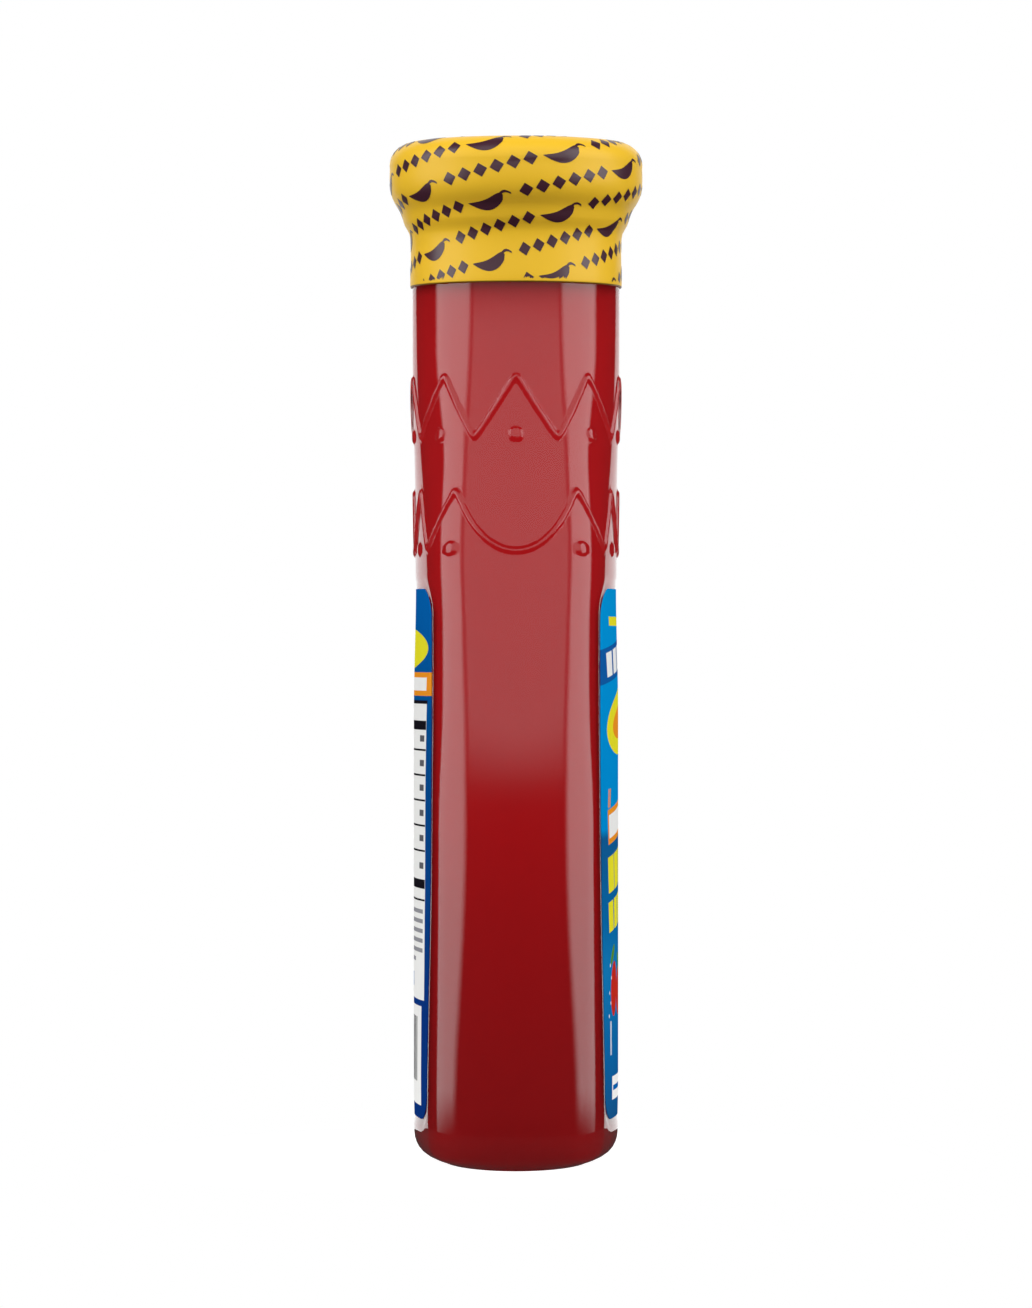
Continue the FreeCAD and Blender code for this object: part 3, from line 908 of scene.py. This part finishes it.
def geometry(kind, inputs=None, **settings):
    return add(wrap, "GeometryNode" + kind, inputs, **settings).outputs[0]


def shaped(length, width, columns, outline, bend, middle):
    """A flat grid as wide as outline(share along it), bent sideways and moved along the motif."""
    grid = geometry("MeshGrid", {"Size X": 1.0, "Size Y": 1.0, "Vertices X": columns, "Vertices Y": 7})
    x, y, _ = split(wrap, geometry("InputPosition"))
    along = x + 0.5
    sway = (along * math.pi).math("SINE") * bend
    place = vector(wrap, x * length + middle, (outline(along) * y + sway) * width, 0.0)
    return geometry("SetPosition", {"Geometry": grid, "Position": place})


def lozenge(along):
    return 1.0 - (along - 0.5).math("ABSOLUTE") * 1.9


def pod(along):
    tip = along.math("MAXIMUM", 0.0) ** 0.9
    shoulder = (1.0 - along).math("MAXIMUM", 0.0) ** 0.4
    return tip * shoulder * 1.9


def stalk(along):
    return 1.0 - along * 0.4


first_lozenge, pod_middle, stalk_middle = -0.0116, 0.0078, 0.0114
pod_bend, stalk_bend = -0.42, 1.1
shapes = [shaped(size["Lozenge Width"], size["Lozenge Height"], 7, lozenge, 0.0,
                 size["Lozenge Spacing"] * k + first_lozenge) for k in range(6)]
shapes.append(shaped(size["Pod Length"], size["Pod Width"], 21, pod, pod_bend, pod_middle))
shapes.append(shaped(size["Stalk Length"], size["Stalk Width"], 6, stalk, stalk_bend, stalk_middle))
motif = add(wrap, "GeometryNodeJoinGeometry")
for shape in shapes:
    wrap.links.new(shape, motif.inputs[0])
print("shapes in the motif:", len(shapes))

# %% Node tree: slanting rows of it
# One point per motif: its number gives its row and its place in the row.
points = geometry("Points", {"Count": size["Round"] * size["Rows"]})
number = Flow(wrap, geometry("InputIndex"))
row = ((number + 0.5) / size["Round"]).math("FLOOR")
column = number - row * size["Round"]
turn = (column + (row * size["Stagger"]).math("FRACT")) / size["Round"]
around = size["Radius"] * (2 * math.pi)
climb = size["Rows Per Turn"] * size["Row Spacing"]
start = vector(wrap, turn * around, row * size["Row Spacing"] - climb + turn * climb, 0.0)
placed = geometry("SetPosition", {"Geometry": points, "Position": start})
tilt = vector(wrap, 0.0, 0.0, climb.math("ARCTAN2", around))
instances = geometry("InstanceOnPoints", {
    "Points": placed, "Instance": motif.outputs[0], "Rotation": tilt})
flat = geometry("RealizeInstances", {"Geometry": instances})
print("flat rows:", len(wrap.nodes), "nodes")

# %% Node tree: laid on the film
# Height becomes a length along the outline, and width becomes an angle.
outline = geometry("MeshToCurve", {"Mesh": size["Geometry"]})
total = geometry("CurveLength", {"Curve": outline})
flat_x, flat_y, _ = split(wrap, geometry("InputPosition"))
above = add(wrap, "FunctionNodeCompare", {0: flat_y, 1: total}, operation="GREATER_THAN")
below = add(wrap, "FunctionNodeCompare", {0: flat_y, 1: size["Hem Margin"]}, operation="LESS_THAN")
off_film = add(wrap, "FunctionNodeBooleanMath", {0: above.outputs[0], 1: below.outputs[0]},
               operation="OR")
kept = geometry("DeleteGeometry", {"Geometry": flat, "Selection": off_film.outputs[0]}, domain="POINT")
sample = add(wrap, "GeometryNodeSampleCurve", {"Curves": outline, "Length": flat_y}, mode="LENGTH")
on_x, _, on_z = split(wrap, sample.outputs["Position"])
heading_x, _, heading_z = split(wrap, sample.outputs["Tangent"])
radius = on_x + heading_z * size["Proud"]
angle = flat_x / size["Radius"]
wrapped = vector(wrap, radius * angle.math("COSINE"), radius * angle.math("SINE"),
                 on_z - heading_x * size["Proud"])
laid = geometry("SetPosition", {"Geometry": kept, "Position": wrapped})
finished = geometry("SetMaterial", {"Geometry": laid, "Material": size["Print"]})
feed(wrap, out.inputs[0], finished)
print("wrapped print:", len(wrap.nodes), "nodes")

# %% Print the band
line = [(r * MM, 0.0, z * MM) for r, z in band_side]
line_mesh = bpy.data.meshes.new("band_print")
line_mesh.from_pydata(line, [(i, i + 1) for i in range(len(line) - 1)], [])
band_print = bpy.data.objects.new("band_print", line_mesh)
bpy.context.scene.collection.objects.link(band_print)
apply_nodes(band_print, wrap, Print=plum_ink)
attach(band_print, "root")
print("band print:", triangles(band_print), "triangles")

# %% [markdown]
# ## The cap
# The twist cap is pressed from thin lacquered steel. The film hides all but its sunken middle, so
# the CAD part stays as it is and only gets its finish.

# %% Cap lacquer
cap = frame["nodes"]["cap"]
lacquer = printed_material("cap_lacquer", srgb(235, 186, 60), 0.3, amount=0.06, scale=500.0)[0]
cap.data.materials.clear()
cap.data.materials.append(lacquer)
print("cap slots:", len(cap.material_slots))

# %% [markdown]
# ## The labels
# Both labels are smooth paper glued into shallow panels. A label is a thin sheet that follows
# the glass, with rounded corners: rows of points across the panel, closed behind by the
# same rows a paper's thickness further in. The glass panel edge stands a little way outside it.

# %% Label sheets
label_low, label_top, label_margin, label_corner = 8.4, 101.0, 0.9, 5.0
label_face, label_back_face = -0.11, -0.21


def label_sheet(name, side):
    """side is -1 for the front and 1 for the back."""
    ends = label_corner * (1 - np.cos(np.linspace(0, math.pi / 2, 10)))
    straight = np.linspace(label_low + label_corner, label_top - label_corner, 60)[1:-1]
    across = np.linspace(-1, 1, 49)
    rows = []
    for level in np.r_[label_low + ends, straight, label_top - ends[::-1]]:
        span, radius = panel_arc(level)
        near_end = max(label_corner - min(level - label_low, label_top - level), 0.0)
        cut = label_corner - math.sqrt(max(label_corner ** 2 - near_end ** 2, 0.0))
        x = across * (radius * math.sin(span) - label_margin - cut)
        skins = []
        for offset, order in ((label_face, 1), (label_back_face, -1)):
            glass_x, glass_y, _, _ = quarter_point(level, np.linspace(1, 0, 900), offset)
            y = side * np.interp(np.abs(x), glass_x, glass_y)
            skins.append(np.stack([x, y, np.full(len(x), level)], 1)[::order])
        row = np.concatenate(skins)
        rows.append(row if side < 0 else row[::-1])
    sheet = make_piece(name, *stack(rows), smooth=False)
    for face in sheet.data.polygons:
        face.use_smooth = abs(face.normal.y) > 0.5
    return sheet


label_front = label_sheet("front_label", -1)
label_back = label_sheet("back_label", 1)
print("labels:", triangles(label_front), triangles(label_back), "triangles")

# %% [markdown]
# ## Printed fields
# The print is made of plain fields: strips, blocks, ovals and specks in the colours of a sauce
# label, and no words. Each field is the same small node group, a rectangle or an oval with a
# place, a size and a slant in millimetres on the label. Chained one after the other, they
# overprint like the inks of a press.

# %% Node group: one printed field
ink_edge = 0.1
group, got, out = new_group(
    "printed_field",
    [("Colour", "Color", (1, 1, 1, 1)), ("Ink", "Color", (1, 1, 1, 1)), ("Place", "Vector"),
     ("X", "Float", 0.0), ("Z", "Float", 0.0), ("Half Width", "Float", 1.0),
     ("Half Height", "Float", 1.0), ("Slant", "Float", 0.0), ("Round", "Float", 0.0)],
    [("Colour", "Color")])
x, _, z = split(group, got["Place"])
dx, dz = x - got["X"], z - got["Z"]
cosine, sine = got["Slant"].math("COSINE"), got["Slant"].math("SINE")
far_x = (dx * cosine + dz * sine).math("ABSOLUTE")
far_z = (dz * cosine - dx * sine).math("ABSOLUTE")
past_block = (far_x - got["Half Width"]).math("MAXIMUM", far_z - got["Half Height"])
a, b = far_x / got["Half Width"], far_z / got["Half Height"]
past_oval = ((a * a + b * b).math("SQRT") - 1.0) * got["Half Height"]
past_edge = ramp(past_block + (past_oval - past_block) * got["Round"], 0.0, ink_edge)
feed(group, out.inputs["Colour"], mix_colours(group, past_edge, got["Ink"], got["Colour"]))
printed_field = group
print("printed field group:", len(group.nodes), "nodes")

# %% Inks, fields and label paper
white, yellow_ink, orange = srgb(246, 246, 244), srgb(236, 228, 44), srgb(242, 150, 40)
band_blue, navy, mid_blue = srgb(20, 92, 168), srgb(11, 50, 122), srgb(8, 98, 176)
red, green, dark = srgb(196, 44, 30), srgb(84, 140, 50), srgb(24, 22, 30)
rule_grey, text_grey = srgb(96, 96, 102), srgb(150, 150, 156)


def block(x, z, half_w, half_h, ink, slant=0.0, roundness=0.0):
    """The inputs of one printed field, in millimetres and degrees."""
    return {"X": x, "Z": z, "Half Width": half_w, "Half Height": half_h, "Ink": ink,
            "Slant": math.radians(slant), "Round": roundness}


def oval(x, z, half_w, half_h, ink, slant=0.0):
    return block(x, z, half_w, half_h, ink, slant, 1.0)


def label_material(name, mirror, ground, fields):
    """Ground is (level, colour) from the foot up, and the fields are printed over it."""
    material, tree, ink = printed_material(name, white, 0.45, amount=0.03, scale=400.0, shine=0.0)
    per_metre = 1 / MM
    place = add(tree, "ShaderNodeVectorMath", {
        0: object_place(tree), 1: (-per_metre if mirror else per_metre, per_metre, per_metre)},
        operation="MULTIPLY").outputs[0]
    _, _, z = split(tree, place)
    share = add(tree, "ShaderNodeMapRange", {"Value": z, "From Min": label_low, "From Max": label_top})
    shades = add(tree, "ShaderNodeValToRGB", {0: share.outputs[0]})
    while len(shades.color_ramp.elements) < len(ground):
        shades.color_ramp.elements.new(0.5)
    for stop, (level, colour) in zip(shades.color_ramp.elements, ground):
        stop.position = (level - label_low) / (label_top - label_low)
        stop.color = colour
    colour = shades.outputs[0]
    for field in fields:
        inputs = {**field, "Colour": colour, "Place": place}
        colour = add(tree, "ShaderNodeGroup", inputs, node_tree=printed_field).outputs["Colour"]
    feed(tree, ink.inputs["Colour"], colour)
    return material


print("label helpers ready")

# %% Front label: slanting strips, an oval, blocks and plain fruit
slant = 6.0
climb = math.tan(math.radians(slant))


def slanting(places, z, half_w, half_h, ink, own_slant=slant):
    """Blocks side by side along the label's slant."""
    return [block(x, z + x * climb, half_w, half_h, ink, own_slant) for x in places]


front = [block(0, 95.3, 14.6, 0.75, yellow_ink), block(0, 89.4, 30, 3.0, band_blue, slant)]
front += slanting((-15.2, -9.1, -3.0, 3.0, 9.1, 15.2), 89.4, 2.3, 2.1, white)
front += [oval(0, 78, 18.6, 5.8, yellow_ink, slant), oval(0, 78, 13.0, 3.0, orange, slant)]
front += slanting((-17.9, -16.7, 16.7, 17.9), 66.2, 0.35, 1.6, orange, -8)
front += [block(0, 61.2, 18.6, 3.0, orange, slant), block(0, 61.2, 17.6, 2.0, white, slant)]
front += slanting((-15.6, -9.4, -3.1, 3.1, 9.4, 15.6), 52.8, 2.8, 3.1, yellow_ink)
front += slanting((-15.8, -10.2, -4.6, 4.6, 10.2, 15.8), 45.4, 2.3, 2.6, yellow_ink)
front += [oval(-13.2, 31, 3.4, 4.8, red, -14), oval(-4.5, 30.5, 5.6, 4.4, red, 10),
          oval(6, 32.5, 4.8, 4.8, red), oval(-14.5, 37, 2.6, 0.9, green, 35),
          oval(-4, 35, 4, 1.2, green, -25), oval(13.5, 31, 4.6, 1.6, green, 60),
          oval(11.5, 36.5, 3.2, 1.1, red, -20)]
front += [oval(x, z, 0.28, 0.28, white) for x, z in
          ((-17.2, 35.2), (-16.1, 33.0), (-18.0, 30.4), (-16.9, 28.6), (-18.6, 26.4), (17.1, 34.3),
           (16.2, 29.4), (18.2, 27.2))]
front += [block(x, 22.5, 0.16, 2.9, white) for x in (-17.4, -16.6)]
front += [block(0, 13.7, 15.8, 2.0, white), block(0, 13.7, 14.8, 0.4, mid_blue)]
front_blues = [(8.4, srgb(22, 84, 138)), (18, srgb(14, 98, 162)), (35, srgb(20, 122, 184)),
               (43, srgb(9, 104, 168)), (57.5, srgb(18, 92, 150)), (59, srgb(2, 142, 215)),
               (101, srgb(4, 150, 220))]
label_front.data.materials.append(label_material("front_label_paper", False, front_blues, front))
print("front fields:", len(front))

# %% Back label: a plain table and a striped box on blue
back = [oval(0, 90.5, 19, 3.4, yellow_ink), block(0, 84.3, 30, 2.0, orange),
        block(0, 84.3, 19, 1.1, white), block(0, 81.1, 20, 0.3, dark), block(0, 55, 19.6, 25.8, white)]
back += [block(0, z, 19.4, 0.75, dark) for z in (77.1, 49.4)]
back += [block(0, z, 19.4, 0.12, dark) for z in (72.8, 68.4, 64.0, 59.6, 55.2, 46.6)]
back += [block(x, z, half_w, 0.5, rule_grey) for z in (74.8, 70.5, 66.2, 61.8, 57.4, 52.6)
         for x, half_w in ((-10.5, 6.2), (16.3, 1.9))]
back += [block(0, z, 17.9, 0.32, text_grey) for z in (44.6, 42.9, 41.2, 39.5, 37.8)]
back += [block(-4, 36.1, 13.6, 0.32, text_grey), block(-6, 32.4, 11, 1.2, mid_blue)]
back += [block(0, 19.4, 17.2, 8.6, white)]
back += [block(-11 + 1.75 * k, 20.4, 0.3 + 0.22 * (k * 7 % 3), 5.6, dark) for k in range(14)]
back_blues = [(8.4, navy), (30, srgb(12, 53, 128)), (78, srgb(6, 80, 148)), (101, srgb(5, 98, 176))]
label_back.data.materials.append(label_material("back_label_paper", True, back_blues, back))
for sheet, node in ((label_front, "label_front"), (label_back, "label_back")):
    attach(sheet, "root")
    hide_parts(node)
print("back fields:", len(back))
